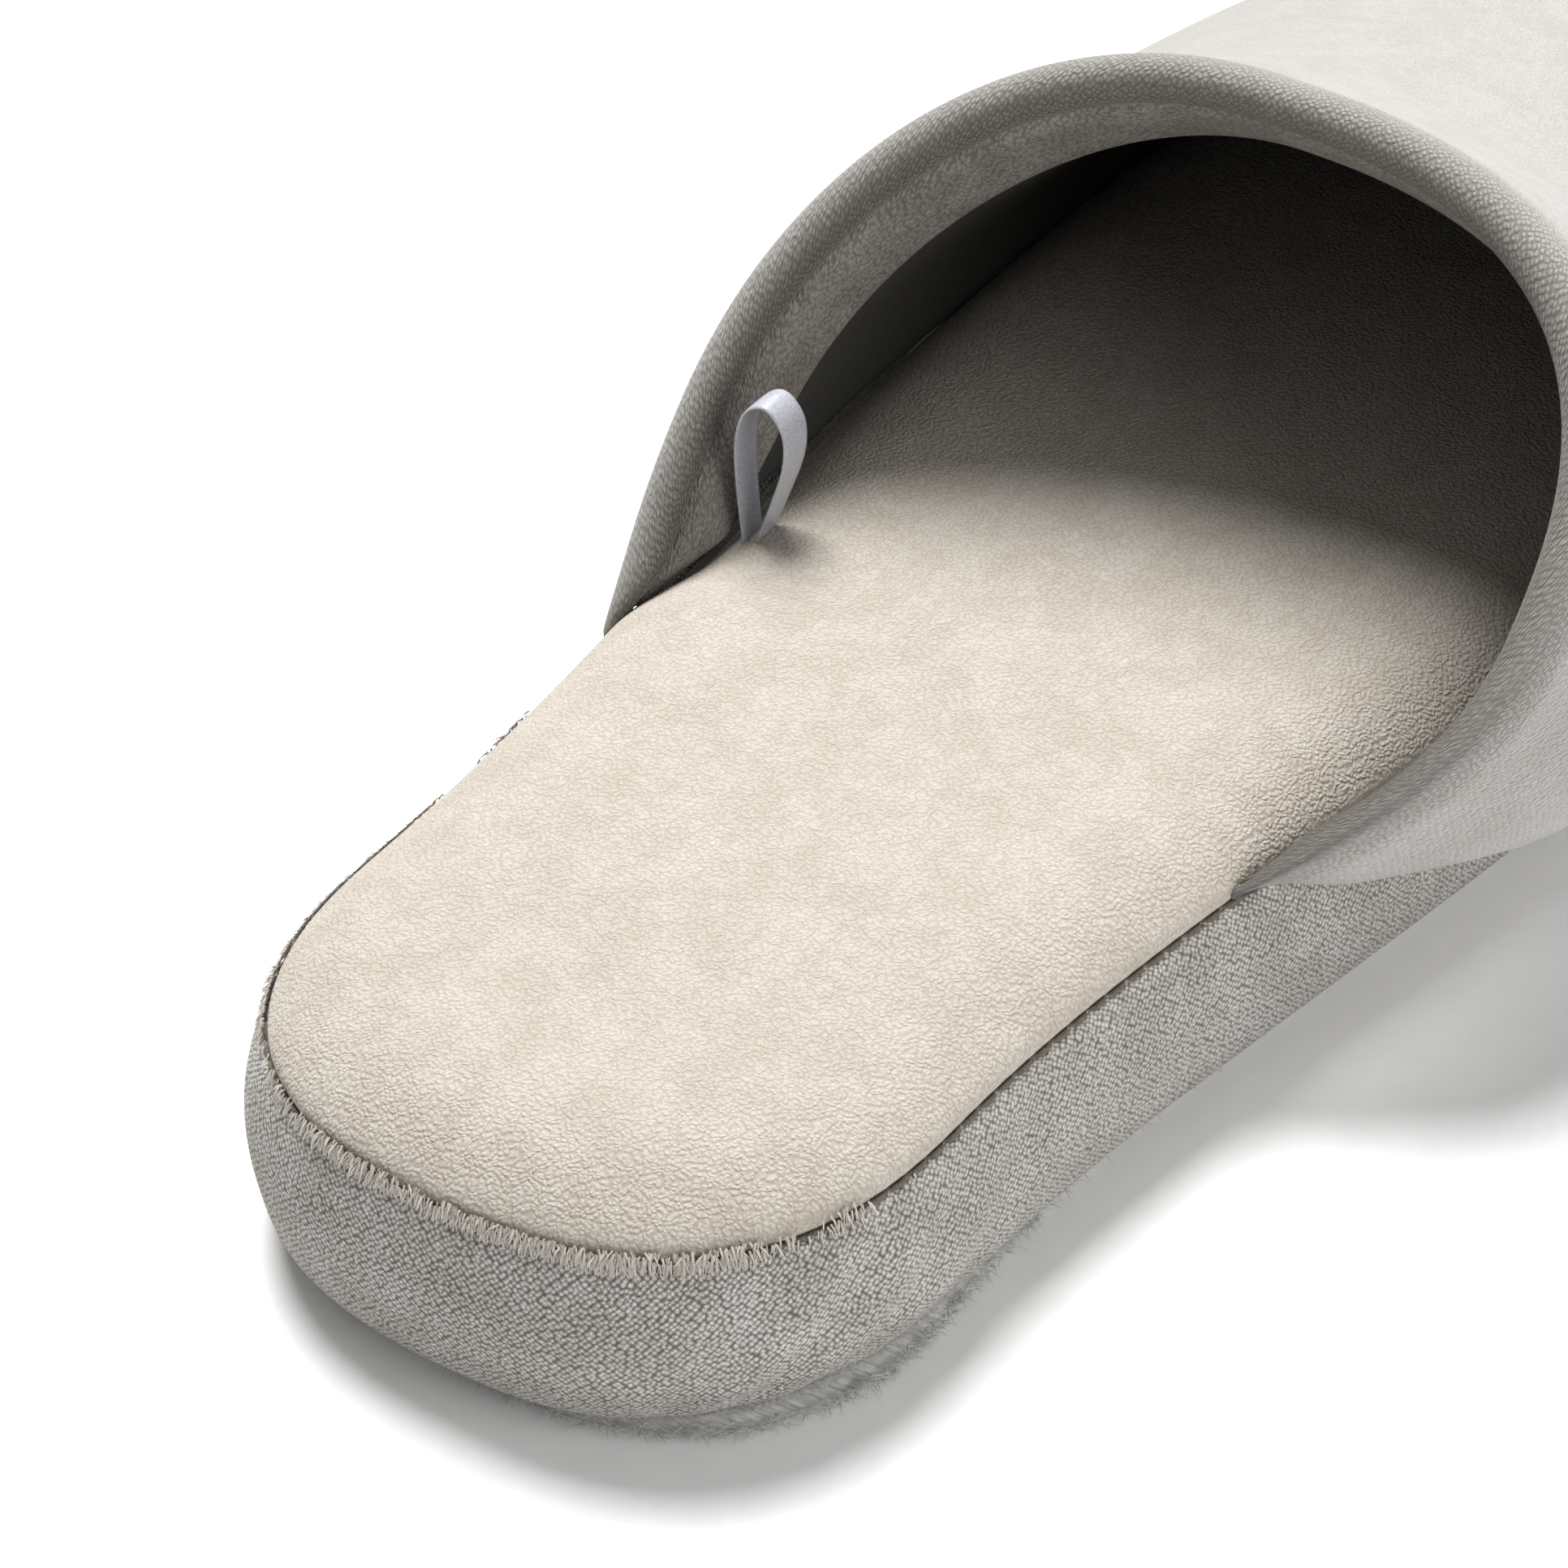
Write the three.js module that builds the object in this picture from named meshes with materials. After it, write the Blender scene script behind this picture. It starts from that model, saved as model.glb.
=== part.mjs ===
// Open-backed padded slipper for the right foot, in millimetres.
// Toe along +Y, lateral (little toe) side along +X, +Z up, sole on Z = 0.
// Stations run along Y from the heel's back (0) to the toe tip (LENGTH).
import * as THREE from 'three';
import { mergeVertices } from 'three/addons/utils/BufferGeometryUtils.js';

const MEDIAL = -1;
const LATERAL = 1;

// ---- Plan outline ----
const LENGTH = 264;
const HEEL_HALF_WIDTH = { [MEDIAL]: 36.8, [LATERAL]: 37 };
const BALL_HALF_WIDTH = { [MEDIAL]: 46, [LATERAL]: 51 };
const HEEL_ROUND = 38; // length of the rounded heel end
const TOE_ROUND = 105; // length of the rounded toe end
const HEEL_SQUARENESS = 2.5; // superellipse exponents, 2 is an ellipse
const TOE_SQUARENESS = 2.25;
const SWING_START = 120; // station where the toe begins to swing
const TOE_SWING = 5; // how far the toe tip swings to the medial side

// ---- Layers, from the floor up ----
const GAP = 0.3; // clearance between separate pieces
const FELT = 3;
const MIDSOLE = 13.5;
const BOARD = 1.5;
const CUSHION_EDGE = 5.2; // footbed cushion thickness at the seam
const CROWN = 6; // rise of the footbed above the seam
const CROWN_REACH = 17; // distance from the edge over which it rises
const COVER = 1.2; // velour over the cushion
const CUSHION_EASE = 0.7; // room between cushion and cover
const COVER_STEP = { start: 12, end: 3 }; // distances behind the rim
const SIDEWALL = 1.4;
const SIDEWALL_BELLY = 2.2; // outward bow of the sidewall
const THREAD = 0.45; // radius of the sewing thread
const FELT_INSET = 0.4;

// ---- Vamp, the closed upper over the toes ----
const RIM_STATION = 81; // where the rim meets the seam on both sides
const RIM_LEAN = 45; // degrees from vertical, towards the toe
const RIM_REACH = 81; // rim height, measured along its lean
const CREST_SHIFT = 8; // the rim's highest point, towards lateral
const RIM_BELLY = { [MEDIAL]: 2.8, [LATERAL]: 20 }; // bulge beyond the seam
const BODY_BELLY = { [MEDIAL]: 2.8, [LATERAL]: 25 };
const BELLY_HEIGHT = { [MEDIAL]: 0.33, [LATERAL]: 0.45 }; // share of reach
const RIM_SQUARENESS = { [MEDIAL]: 2.08, [LATERAL]: 2.6 };
const BODY_SQUARENESS = 1.85;
const BELLY_HOLD = 2; // how far forward the bulge holds before it dies away
const BELLY_TURN = { rim: 2, body: 7 }; // how sharply it turns out of the seam
const BODY_SHARE = 0.25; // share of the run where the rim's shape has gone
const TOE_ARCH_LENGTH = 84; // over this length the seam closes the toe
const TOE_BLEND = 3; // how late the arches take up the toe's outline
const RIDGE_RUN = 45; // how far the ridge leaves the rim straight
const RIDGE_SHOULDER = 26; // height above the seam that it heads for there
const TOE_BOX = 24; // height of the blunt toe above the seam
const SHELL = 1.6;
const PADDING = 2.6;
const TOE_PUFF = 0.8;
const LINING = 0.8;

// ---- Rim hem ----
const HEM_ROLL = 5;
const HEM_DEPTH = 16;
const FACING = 0.8;
const HEM_CORNER = 2; // chamfer of the rolled edge

// ---- Hanging loop ----
const LOOP_STATION = 101;
const LOOP_WIDTH = 4.2;
const LOOP_HEIGHT = 23;
const LOOP_SPREAD = 6.8;
const RIBBON = 0.45;
const LOOP_TILT = 12; // degrees towards the foot
const LOOP_NECK = 0.45; // share of its height over which the drop stays narrow
const DROP_REACH = 2.1; // control point's distance for a widest place of 1
const TACK_HEIGHT = 1.1;

// ---- Flex line across the sole, behind the vamp ----
const FLEX_STATION = 57;

// ---- Values that follow from the sizes above ----
const midsoleBase = FELT + GAP;
const boardBase = midsoleBase + MIDSOLE + GAP;
const cushionBase = boardBase + BOARD + GAP;
const seamHeight = cushionBase + CUSHION_EDGE;
const sidewallTop = seamHeight - 2 * THREAD - 3 * GAP;
const coreInset = SIDEWALL + GAP;
const vampWall = SHELL + PADDING + TOE_PUFF + LINING + 3 * GAP;
const facingOffset = vampWall + 2 * GAP;
const hemThreadOffset = facingOffset + FACING + 2 * GAP + THREAD;
const coverInset = 2 * GAP;
const coverInsetUnderVamp = hemThreadOffset + THREAD + 2 * GAP;
const middleEnd = LENGTH - TOE_ROUND;
const vampBase = seamHeight + GAP;
const lean = THREE.MathUtils.degToRad(RIM_LEAN);
const rimTop = new THREE.Vector2(
  RIM_STATION + RIM_REACH * Math.sin(lean),
  vampBase + RIM_REACH * Math.cos(lean),
);
const ridge = new THREE.CubicBezierCurve(
  rimTop,
  new THREE.Vector2(rimTop.x + RIDGE_RUN, vampBase + RIDGE_SHOULDER),
  new THREE.Vector2(LENGTH, vampBase + TOE_BOX),
  new THREE.Vector2(LENGTH, vampBase),
);
const toeArchStation = LENGTH - TOE_ARCH_LENGTH;
const vampRun = (ridge.getLength() + toeArchStation - RIM_STATION) / 2;

const lerp = THREE.MathUtils.lerp;
const clamp = THREE.MathUtils.clamp;
const smoothstep = THREE.MathUtils.smoothstep;

// ---- Outline ----

// Half width at a station on one side, for an outline moved in by inset.
function halfWidth(station, side, inset = 0) {
  const heel = HEEL_HALF_WIDTH[side];
  const widening = smoothstep(station, HEEL_ROUND, middleEnd);
  const body = lerp(heel, BALL_HALF_WIDTH[side], widening) - inset;
  if (station < HEEL_ROUND) {
    const t = clamp((HEEL_ROUND - station) / (HEEL_ROUND - inset), 0, 1);
    return body * (1 - t ** HEEL_SQUARENESS) ** (1 / HEEL_SQUARENESS);
  }
  if (station > middleEnd) {
    const t = clamp((station - middleEnd) / (TOE_ROUND - inset), 0, 1);
    return body * (1 - t ** TOE_SQUARENESS) ** (1 / TOE_SQUARENESS);
  }
  return body;
}

function centreShift(station) {
  const t = clamp((station - SWING_START) / (LENGTH - SWING_START), 0, 1);
  return MEDIAL * TOE_SWING * t * t;
}

function edgeX(station, side, inset = 0) {
  return side * halfWidth(station, side, inset) + centreShift(station);
}

// A place along the outline: 0 to 1 rounds the heel, 1 to 2 runs along the
// middle and 2 to 3 rounds the toe. Points crowd where the outline turns.
function stationAt(place, inset = 0) {
  if (place <= 1) {
    const turn = Math.cos(place * Math.PI / 2) ** (2 / HEEL_SQUARENESS);
    return inset + (HEEL_ROUND - inset) * (1 - turn);
  }
  if (place <= 2) return lerp(HEEL_ROUND, middleEnd, place - 1);
  const left = clamp((3 - place) * Math.PI / 2, 0, Math.PI / 2);
  const turn = Math.cos(left) ** (2 / TOE_SQUARENESS);
  return LENGTH - inset - (TOE_ROUND - inset) * (1 - turn);
}

function middlePlace(station) {
  return 1 + (station - HEEL_ROUND) / (middleEnd - HEEL_ROUND);
}

const heelCut = middlePlace(FLEX_STATION - GAP / 2);
const frontCut = middlePlace(FLEX_STATION + GAP / 2);
const rimPlace = middlePlace(RIM_STATION);
const TIP = 0.05; // places this near a tip close the slabs

function spread(from, to, steps) {
  return Array.from({ length: steps + 1 }, (_, i) => lerp(from, to, i / steps));
}

// ---- Closed solids from grids of points ----

function solidFrom(points, faces) {
  const geometry = new THREE.BufferGeometry();
  geometry.setFromPoints(points);
  geometry.setIndex(faces.flat());
  const merged = mergeVertices(geometry, 1e-4);
  const corner = merged.attributes.position;
  const index = Array.from(merged.index.array);
  const kept = [];
  let volume = 0;
  for (let i = 0; i < index.length; i += 3) {
    const [a, b, c] = index.slice(i, i + 3);
    if (a === b || b === c || c === a) continue;
    kept.push([a, b, c]);
    const [p, q, r] = [a, b, c].map((n) => new THREE.Vector3().fromBufferAttribute(corner, n));
    volume += p.dot(q.cross(r));
  }
  if (volume < 0) kept.forEach((face) => face.reverse());
  merged.setIndex(kept.flat());
  merged.computeVertexNormals();
  return merged;
}

// Two matching grids, joined along their four edges.
function thickPatch(outer, inner) {
  const rows = outer.length;
  const columns = outer[0].length;
  const points = [...outer.flat(), ...inner.flat()];
  const at = (layer, i, j) => layer * rows * columns + i * columns + j;
  const faces = [];
  const quad = (a, b, c, d) => faces.push([a, b, c], [a, c, d]);
  for (let i = 0; i < rows - 1; i += 1) {
    for (let j = 0; j < columns - 1; j += 1) {
      quad(at(0, i, j), at(0, i, j + 1), at(0, i + 1, j + 1), at(0, i + 1, j));
      quad(at(1, i, j), at(1, i + 1, j), at(1, i + 1, j + 1), at(1, i, j + 1));
    }
    quad(at(0, i, 0), at(0, i + 1, 0), at(1, i + 1, 0), at(1, i, 0));
    const last = columns - 1;
    quad(at(0, i + 1, last), at(0, i, last), at(1, i, last), at(1, i + 1, last));
  }
  for (let j = 0; j < columns - 1; j += 1) {
    quad(at(0, 0, j + 1), at(0, 0, j), at(1, 0, j), at(1, 0, j + 1));
    const last = rows - 1;
    quad(at(0, last, j), at(0, last, j + 1), at(1, last, j + 1), at(1, last, j));
  }
  return solidFrom(points, faces);
}

// A section carried along a path; place(step, a, b) puts section point (a, b).
function sweep(section, steps, place) {
  const contour = section.map(([a, b]) => new THREE.Vector2(a, b));
  const count = section.length;
  const points = [];
  const faces = [];
  steps.forEach((step) => {
    section.forEach(([a, b]) => points.push(place(step, a, b)));
  });
  for (let i = 0; i < steps.length - 1; i += 1) {
    for (let k = 0; k < count; k += 1) {
      const next = (k + 1) % count;
      const near = i * count;
      const far = near + count;
      faces.push([near + k, near + next, far + next], [near + k, far + next, far + k]);
    }
  }
  const end = (steps.length - 1) * count;
  THREE.ShapeUtils.triangulateShape(contour, []).forEach(([a, b, c]) => {
    faces.push([c, b, a], [end + a, end + b, end + c]);
  });
  return solidFrom(points, faces);
}

// ---- Sole layers ----

// The cover steps in between these two stations, to pass inside the vamp.
const stepStart = RIM_STATION - COVER_STEP.start;
const stepEnd = RIM_STATION - COVER_STEP.end;
const slabPlaces = {
  heel: spread(TIP, heelCut, 12),
  front: [
    frontCut,
    ...spread(middlePlace(stepStart), middlePlace(stepEnd), 3),
    ...spread(rimPlace, 3 - TIP, 18),
  ],
};

// A layer of the sole between two heights; each may vary with x and station.
function slab(half, insetAt, low, high, columns) {
  const grid = (height) => slabPlaces[half].map((place) => {
    const inset = insetAt(stationAt(place));
    const station = stationAt(place, inset);
    const left = edgeX(station, MEDIAL, inset);
    const right = edgeX(station, LATERAL, inset);
    return spread(0, Math.PI, columns).map((turn) => {
      const x = lerp(left, right, (1 - Math.cos(turn)) / 2);
      return new THREE.Vector3(x, station, height(x, station));
    });
  });
  return thickPatch(grid(high), grid(low));
}

const flat = (height) => () => height;
const insetBy = (inset) => () => inset;

// The cover keeps clear of the vamp's wall and runs to the seam elsewhere.
function coverInsetAt(station) {
  const under = smoothstep(station, stepStart, stepEnd);
  return lerp(coverInset, coverInsetUnderVamp, under);
}

// Height of the footbed above the seam: a pillow edge and a level top.
function crownHeight(x, station) {
  const inset = coverInsetAt(station);
  const left = x - edgeX(station, MEDIAL, inset);
  const right = edgeX(station, LATERAL, inset) - x;
  const side = Math.max(Math.min(left, right), 0);
  const end = Math.min(station - coverInset, LENGTH - coverInsetUnderVamp - station);
  const reach = side * end / Math.hypot(side, end, 1e-6);
  const t = 1 - clamp(reach / CROWN_REACH, 0, 1);
  return CROWN * Math.sqrt(1 - t * t);
}

const COVER_COLUMNS = 14;
const coverTop = (x, s) => seamHeight + COVER / 2 + crownHeight(x, s);
const coverUnderside = (x, s) => coverTop(x, s) - COVER;
const cushionTop = (x, s) => coverUnderside(x, s) - CUSHION_EASE;
const cushionInsetAt = (station) => coverInsetAt(station) + SIDEWALL + GAP;

// ---- Bands and threads that follow the outline ----

// Outline places from one cut, round the tip, to the other cut.
function roundTip(cut, tip, steps) {
  const along = spread(cut, tip, steps);
  const out = along.map((place) => ({ place, side: MEDIAL }));
  const back = along.slice(0, -1).reverse().map((place) => ({ place, side: LATERAL }));
  return [...out, ...back];
}

function outlinePoint({ place, side }, inset, height) {
  const station = stationAt(place, inset);
  return new THREE.Vector3(edgeX(station, side, inset), station, height);
}

const paths = {
  heel: roundTip(heelCut, 0, 14),
  front: roundTip(frontCut, 3, 24),
};

function sidewallBand(half) {
  const rise = spread(0, 1, 4);
  const grid = (inset) => paths[half].map((knot) => rise.map((t) => {
    const bow = SIDEWALL_BELLY * Math.sin(Math.PI * t);
    return outlinePoint(knot, inset - bow, lerp(midsoleBase, sidewallTop, t));
  }));
  return thickPatch(grid(0), grid(SIDEWALL));
}

function roundSection(radius, sides) {
  return Array.from({ length: sides }, (_, k) => {
    const turn = 2 * Math.PI * k / sides;
    return [radius * Math.cos(turn), radius * Math.sin(turn)];
  });
}

const threadSection = roundSection(THREAD, 6);

function outlineThread(half, inset, height) {
  return sweep(threadSection, paths[half], (knot, a, b) => outlinePoint(knot, inset + a, height + b));
}

// Bound seam edges inside the joint of vamp and sole.
function seamTape() {
  const low = cushionBase + GAP;
  const high = seamHeight - GAP;
  const inner = coverInsetUnderVamp - GAP;
  const outer = coreInset + 2 * THREAD;
  const section = [[outer, low], [inner, low], [inner, high], [outer, high]];
  return sweep(section, roundTip(rimPlace, 3, 20), outlinePoint);
}

// ---- Vamp surface ----

// Half width of an arch at a share of its height, from seam (0) to crest (1).
function archHalf(base, belly, share, side, body) {
  const widest = BELLY_HEIGHT[side];
  if (share < widest) {
    const sharpness = lerp(BELLY_TURN.rim, BELLY_TURN.body, body);
    return lerp(belly, base, (1 - share / widest) ** sharpness);
  }
  const t = (share - widest) / (1 - widest);
  const n = lerp(RIM_SQUARENESS[side], BODY_SQUARENESS, body);
  return belly * Math.max(1 - t ** n, 0) ** (1 / n);
}

// A point of the vamp, at a depth below its outer surface. Run 0 is the rim
// and 1 the toe seam; turn goes from 0 to PI, medial to lateral.
function vampPoint(run, turn, depth) {
  const share = Math.sin(turn);
  const side = turn < Math.PI / 2 ? MEDIAL : LATERAL;
  const body = smoothstep(run, 0, BODY_SHARE);
  const foot = lerp(RIM_STATION, toeArchStation, run);
  const along = ridge.getTangentAt(run);
  const top = ridge.getPointAt(run).add(new THREE.Vector2(along.y, -along.x).multiplyScalar(depth));
  const crest = lerp(CREST_SHIFT, centreShift(LENGTH), run);
  const base = side * (edgeX(foot, side, depth) - crest);
  const bulge = lerp(RIM_BELLY[side], BODY_BELLY[side], body) * (1 - run ** BELLY_HOLD);
  const arch = crest + side * archHalf(base, base + bulge, share, side, body);
  const toe = edgeX(lerp(foot, LENGTH - depth, share), side, depth);
  return new THREE.Vector3(
    lerp(arch, toe, run ** TOE_BLEND),
    lerp(foot, top.x, share),
    lerp(vampBase, top.y, share),
  );
}

const VAMP_COLUMNS = 22;
const runOf = (distance) => distance / vampRun;
const turns = spread(0, Math.PI, VAMP_COLUMNS);
const runs = spread(runOf(HEM_ROLL + GAP), 1, 12);
const puffRuns = runs.slice(-6); // the toe puff only stiffens the toe end
const paddingDepth = SHELL + GAP;
const puffDepth = paddingDepth + PADDING + GAP;
const liningDepth = puffDepth + TOE_PUFF + GAP;

function vampLayer(layerRuns, depth, thickness) {
  const grid = (at) => layerRuns.map((run) => turns.map((turn) => vampPoint(run, turn, at)));
  return thickPatch(grid(depth), grid(depth + thickness));
}

// The hem rolls over the rim and runs on inside as a facing.
function rimHem() {
  const inside = facingOffset + FACING;
  const section = [
    [HEM_CORNER, 0], [HEM_ROLL, 0], [HEM_ROLL, facingOffset], [HEM_DEPTH, facingOffset],
    [HEM_DEPTH, inside], [HEM_CORNER, inside], [0, inside - HEM_CORNER], [0, HEM_CORNER],
  ];
  return sweep(section, turns, (turn, distance, depth) => vampPoint(runOf(distance), turn, depth));
}

function hemThread() {
  return sweep(threadSection, turns.slice(1, -1), (turn, a, b) => (
    vampPoint(runOf(HEM_ROLL + a), turn, hemThreadOffset + b)
  ));
}

// ---- Hanging loop ----

const loopInset = coverInsetUnderVamp - RIBBON - 2 * GAP;
const loopRoot = new THREE.Vector3(
  edgeX(LOOP_STATION, MEDIAL, loopInset),
  LOOP_STATION,
  vampBase + TACK_HEIGHT + GAP,
);

function tearDrop(path, halfSpread, foot, base, top) {
  const middle = lerp(base, top, LOOP_NECK);
  const reach = DROP_REACH * halfSpread;
  path.moveTo(foot, base);
  path.bezierCurveTo(foot, middle, reach, top, 0, top);
  path.bezierCurveTo(-reach, top, -foot, middle, -foot, base);
  path.closePath();
  return path;
}

function hangingLoop() {
  const half = LOOP_SPREAD / 2;
  const outline = tearDrop(new THREE.Shape(), half, RIBBON + GAP / 2, 0, LOOP_HEIGHT);
  const hole = tearDrop(new THREE.Path(), half - RIBBON, GAP / 2, RIBBON * 2, LOOP_HEIGHT - RIBBON);
  outline.holes.push(hole);
  const ribbon = new THREE.ExtrudeGeometry(outline, {
    depth: LOOP_WIDTH, bevelEnabled: false, curveSegments: 9,
  });
  ribbon.deleteAttribute('normal');
  ribbon.deleteAttribute('uv');
  ribbon.rotateX(Math.PI / 2);
  ribbon.translate(0, LOOP_WIDTH / 2, 0);
  const merged = mergeVertices(ribbon, 1e-4);
  merged.computeVertexNormals();
  return merged;
}

// ---- Assembly ----

const slipper = new THREE.Group();

function add(name, geometry, color, roughness) {
  const material = new THREE.MeshStandardMaterial({ color, roughness, metalness: 0 });
  const mesh = new THREE.Mesh(geometry, material);
  mesh.name = name;
  slipper.add(mesh);
  return mesh;
}

const velourCream = '#e2dbd0';
const velourGrey = '#cdcac4';
const feltGrey = '#b9b8b4';
const foamWhite = '#ecebe6';
const threadGrey = '#bdb9b1';

for (const half of ['heel', 'front']) {
  add(`outsole_felt_${half}`, slab(half, insetBy(FELT_INSET), flat(0), flat(FELT), 1), feltGrey, 1);
  const midsole = slab(half, insetBy(coreInset), flat(midsoleBase), flat(midsoleBase + MIDSOLE), 1);
  add(`midsole_foam_${half}`, midsole, foamWhite, 0.9);
  const board = slab(half, insetBy(coreInset), flat(boardBase), flat(boardBase + BOARD), 1);
  add(`insole_board_${half}`, board, '#a98f6d', 0.9);
  const cushion = slab(half, cushionInsetAt, flat(cushionBase), cushionTop, COVER_COLUMNS);
  add(`footbed_cushion_${half}`, cushion, foamWhite, 0.95);
  const cover = slab(half, coverInsetAt, coverUnderside, coverTop, COVER_COLUMNS);
  add(`footbed_cover_${half}`, cover, velourCream, 1);
  add(`sidewall_cloth_${half}`, sidewallBand(half), velourGrey, 1);
  const topThread = outlineThread(half, 2 * THREAD, sidewallTop + GAP + THREAD);
  add(`top_seam_thread_${half}`, topThread, threadGrey, 0.8);
}

add('vamp_shell', vampLayer(runs, 0, SHELL), velourGrey, 1);
add('vamp_padding', vampLayer(runs, paddingDepth, PADDING), foamWhite, 0.95);
add('toe_puff', vampLayer(puffRuns, puffDepth, TOE_PUFF), '#d8d4c8', 0.7);
add('vamp_lining', vampLayer(runs, liningDepth, LINING), '#7d7a74', 1);
add('rim_hem', rimHem(), velourGrey, 1);
add('rim_hem_thread', hemThread(), threadGrey, 0.8);
add('vamp_seam_tape', seamTape(), '#c9c6be', 0.9);

const loop = add('hanging_loop', hangingLoop(), '#dcdde2', 0.35);
loop.position.copy(loopRoot);
loop.rotation.y = THREE.MathUtils.degToRad(LOOP_TILT);

const tack = new THREE.BoxGeometry(2 * RIBBON + GAP, LOOP_WIDTH, TACK_HEIGHT);
const tackMesh = add('loop_tack', tack, threadGrey, 0.8);
tackMesh.position.set(loopRoot.x, loopRoot.y, vampBase + TACK_HEIGHT / 2);

// The origin sits under the middle of the whole slipper's box.
const box = new THREE.Box3().setFromObject(slipper, true);
const centre = box.getCenter(new THREE.Vector3());
slipper.position.set(-centre.x, -centre.y, -box.min.z);

const assembly = new THREE.Group();
assembly.add(slipper);

export default assembly;
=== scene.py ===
import bisect
import math
import random

import bpy
import numpy as np
from mathutils import Matrix, Vector, noise


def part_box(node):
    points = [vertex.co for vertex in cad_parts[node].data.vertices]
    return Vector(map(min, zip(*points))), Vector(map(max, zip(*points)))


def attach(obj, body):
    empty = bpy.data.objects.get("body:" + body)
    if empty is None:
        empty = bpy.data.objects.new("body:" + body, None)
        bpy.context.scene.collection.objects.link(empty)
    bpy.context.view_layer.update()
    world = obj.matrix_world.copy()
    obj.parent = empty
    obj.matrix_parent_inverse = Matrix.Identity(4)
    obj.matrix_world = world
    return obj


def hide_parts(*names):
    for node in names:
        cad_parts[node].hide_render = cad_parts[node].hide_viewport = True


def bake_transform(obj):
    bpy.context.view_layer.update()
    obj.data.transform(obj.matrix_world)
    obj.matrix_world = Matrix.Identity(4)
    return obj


# One right-foot house slipper: a velour footbed over a felt-soled pad, a padded
# vamp closed over the toes, and a ribbon loop inside the mouth. Lengths are in
# millimetres in the station frame: station 0 is the heel's back, LENGTH the toe
# tip, x grows to the lateral side and heights count from the floor.
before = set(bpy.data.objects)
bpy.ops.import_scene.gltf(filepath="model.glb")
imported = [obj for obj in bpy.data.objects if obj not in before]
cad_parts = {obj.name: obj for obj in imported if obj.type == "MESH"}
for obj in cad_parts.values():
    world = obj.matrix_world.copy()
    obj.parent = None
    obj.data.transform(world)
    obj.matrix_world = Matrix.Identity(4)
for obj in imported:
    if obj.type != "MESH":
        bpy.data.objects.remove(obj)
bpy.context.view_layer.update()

MM = 0.001
MEDIAL = -1
LATERAL = 1

# ---- Sizes shared with the CAD part, in millimetres ----
LENGTH = 264.0
HEEL_HALF_WIDTH = {MEDIAL: 36.8, LATERAL: 37.0}
BALL_HALF_WIDTH = {MEDIAL: 46.0, LATERAL: 51.0}
HEEL_ROUND = 38.0
TOE_ROUND = 105.0
HEEL_SQUARENESS = 2.5
TOE_SQUARENESS = 2.25
SWING_START = 120.0
TOE_SWING = 5.0
MIDDLE_END = LENGTH - TOE_ROUND
SEAM = 24.1  # height of the seam between footbed and sidewall
COVER_INSET = 0.6
COVER_INSET_UNDER_VAMP = 10.2
UNDER_VAMP = {MEDIAL: 4.2, LATERAL: 0.6}
RIM_STATION = 81.0
VAMP_BASE = 24.4
RIM_TOP = (138.3, 81.7)
CREST_SHIFT = 8.0
RIM_BELLY = {MEDIAL: 2.8, LATERAL: 20.0}
BODY_BELLY = {MEDIAL: 2.8, LATERAL: 25.0}
BELLY_HEIGHT = {MEDIAL: 0.33, LATERAL: 0.45}
RIM_SQUARENESS = {MEDIAL: 2.08, LATERAL: 2.6}
BODY_SQUARENESS = 1.85
BELLY_HOLD = 2
BELLY_TURN = (2.0, 7.0)
BODY_SHARE = 0.25
RIM_LEAN = 0.7  # each millimetre past the rim goes this far back, and as far up
TOE_ARCH_STATION = LENGTH - 84.0
TOE_BLEND = 3
RIDGE = (RIM_TOP, (RIM_TOP[0] + 45.0, VAMP_BASE + 26.0), (LENGTH, VAMP_BASE + 24.0), (LENGTH, VAMP_BASE))
LOOP_STATION = 101.0
LOOP_HEIGHT = 23.0
LOOP_WIDTH = 4.2
LOOP_TILT = math.radians(12)

# ---- Sizes of the cloth, in millimetres ----
HEM_LENGTH = 190.0  # round the mouth, along the hem's stitches
FOOTBED_TOP = 6.6  # above the seam
PILLOW_REACH = 17.0  # distance from the edge over which the footbed rises
FELT_TOP = 2.6
FELT_REACH = 16.0
FELT_HOLLOW = 0.1  # the sole's middle just clears the floor
FELT_TUCK = 1.7  # how far the felt's edge sits in under the sidewall
LIP = 5.0  # distance from the rim where the rolled hem passes into the vamp
PADDING_DEPTH = 2.0
PADDING_START = 9.0  # distance from the rim
LINING_DEPTH = 6.2
LINING_START = 13.0  # under the facing
CORNER_LIFT = 1.9
THREAD_DEPTH = 0.75  # of the seam's thread, in from the edge and down
RIBBON_INSET = 1.05  # of the loop's foot, outside the footbed cover's edge
RIBBON_RISE = 1.4  # of its foot above the vamp's base


def lerp(a, b, t):
    return a + (b - a) * t


def clamp(value, low=0.0, high=1.0):
    return max(low, min(high, value))


def ease(value, start=0.0, end=1.0):
    t = clamp((value - start) / (end - start))
    return t * t * (3 - 2 * t)


# ---- Outline of the sole ----


def half_width(station, side, inset=0.0):
    """Half the sole's width on one side: round at both ends, widest at the ball."""
    widening = ease(station, HEEL_ROUND, MIDDLE_END)
    body = lerp(HEEL_HALF_WIDTH[side], BALL_HALF_WIDTH[side], widening) - inset
    if station < HEEL_ROUND:
        t = clamp((HEEL_ROUND - station) / (HEEL_ROUND - inset))
        return body * (1 - t**HEEL_SQUARENESS) ** (1 / HEEL_SQUARENESS)
    if station > MIDDLE_END:
        t = clamp((station - MIDDLE_END) / (TOE_ROUND - inset))
        return body * (1 - t**TOE_SQUARENESS) ** (1 / TOE_SQUARENESS)
    return body


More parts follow.
